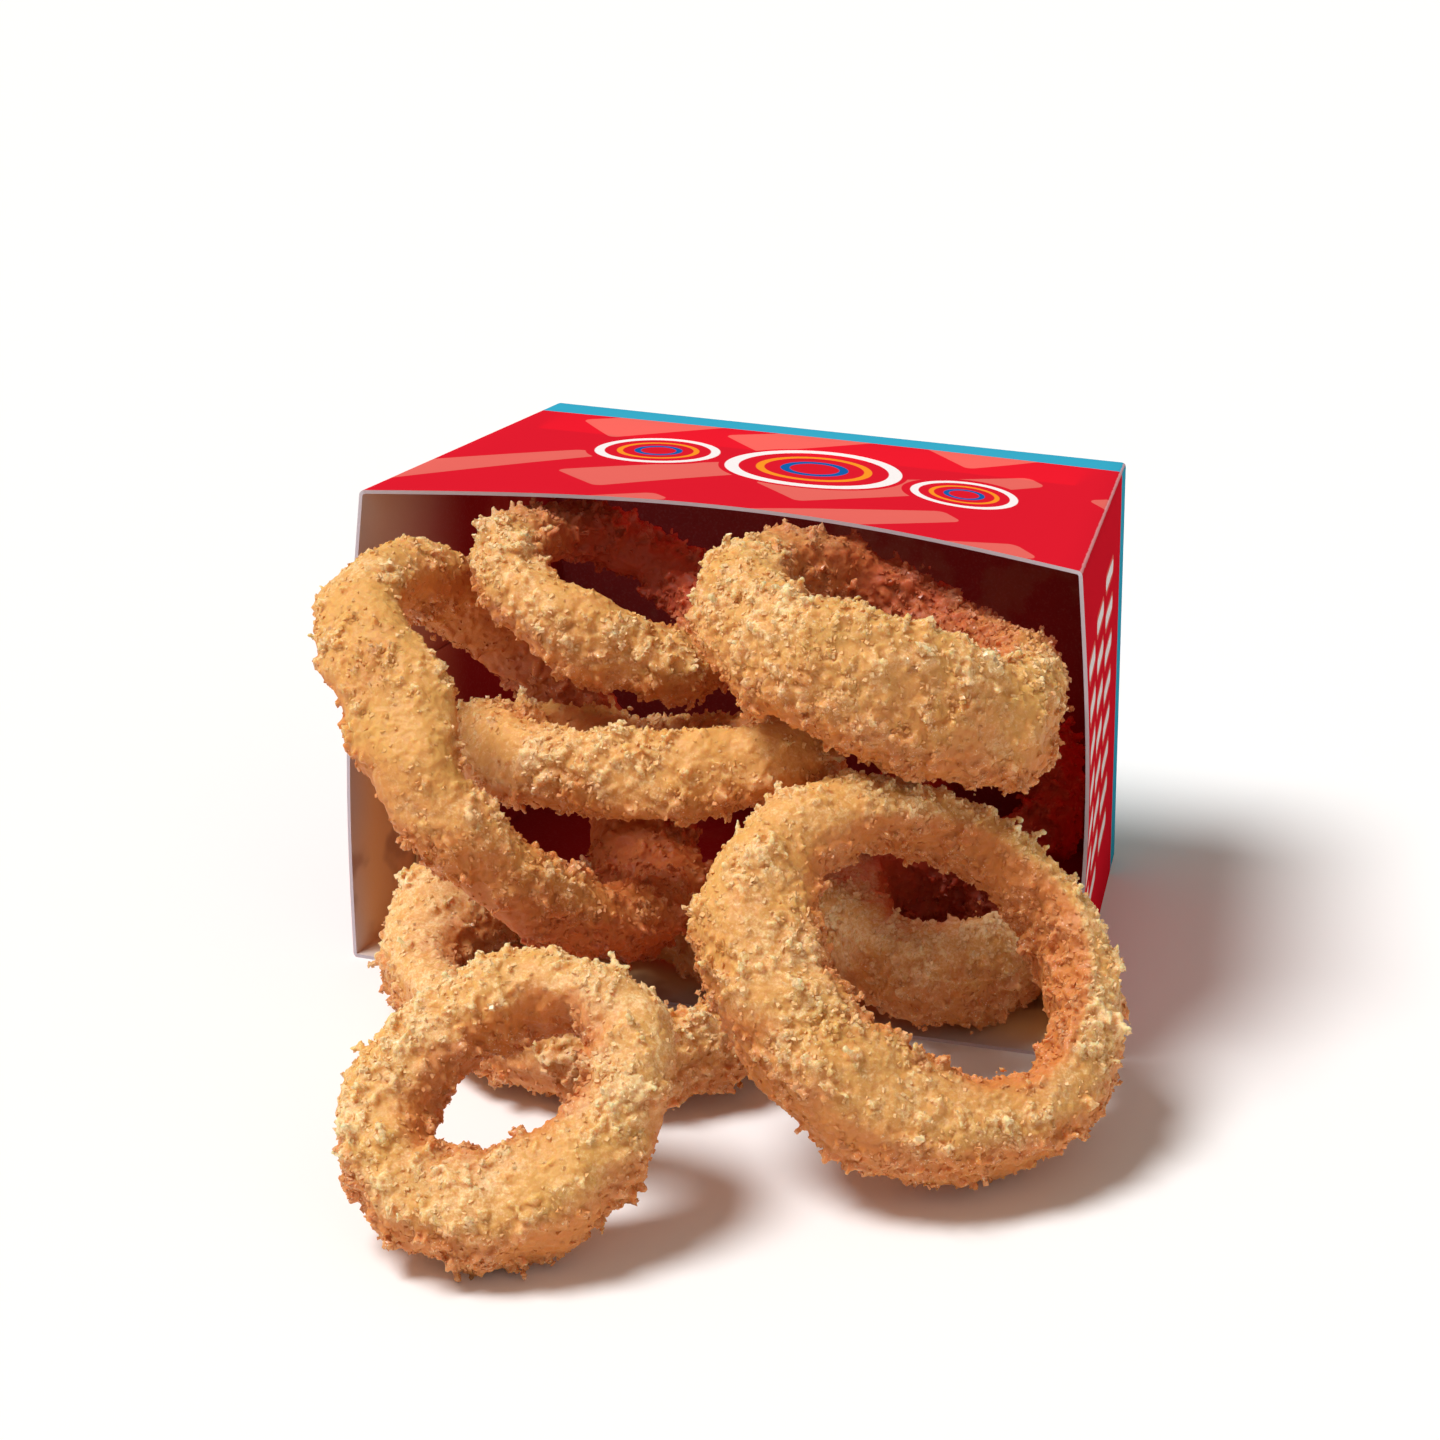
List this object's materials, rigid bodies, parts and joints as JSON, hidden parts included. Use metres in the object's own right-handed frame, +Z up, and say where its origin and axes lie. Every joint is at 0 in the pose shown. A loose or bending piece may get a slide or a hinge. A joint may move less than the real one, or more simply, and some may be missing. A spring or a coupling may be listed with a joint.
{
  "type": "onion rings side",
  "caption": "Tapered paperboard carton lying on one broad side, with breaded onion rings of uneven sizes spilling from its open mouth.",
  "frame": {"origin": "under the middle of the whole's footprint, on the floor", "axes": "+Z up, -Y out of the carton's mouth towards the viewer, +X to the viewer's right"},
  "size_m": [0.1374, 0.1682, 0.0834],
  "materials": {
    "printed_board": "glossy print outside, bare grey-white inside",
    "crust": "rough golden crumb with a slight oily sheen"
  },
  "bodies": {
    "root": {"carton": "printed_board", "ring_flat_front": "crust", "ring_left_standing": "crust", "ring_small_front": "crust", "ring_big_right": "crust", "ring_middle": "crust", "ring_top_left": "crust", "ring_top_right": "crust", "ring_floor_right": "crust", "ring_back_right": "crust"}
  },
  "joints": []
}
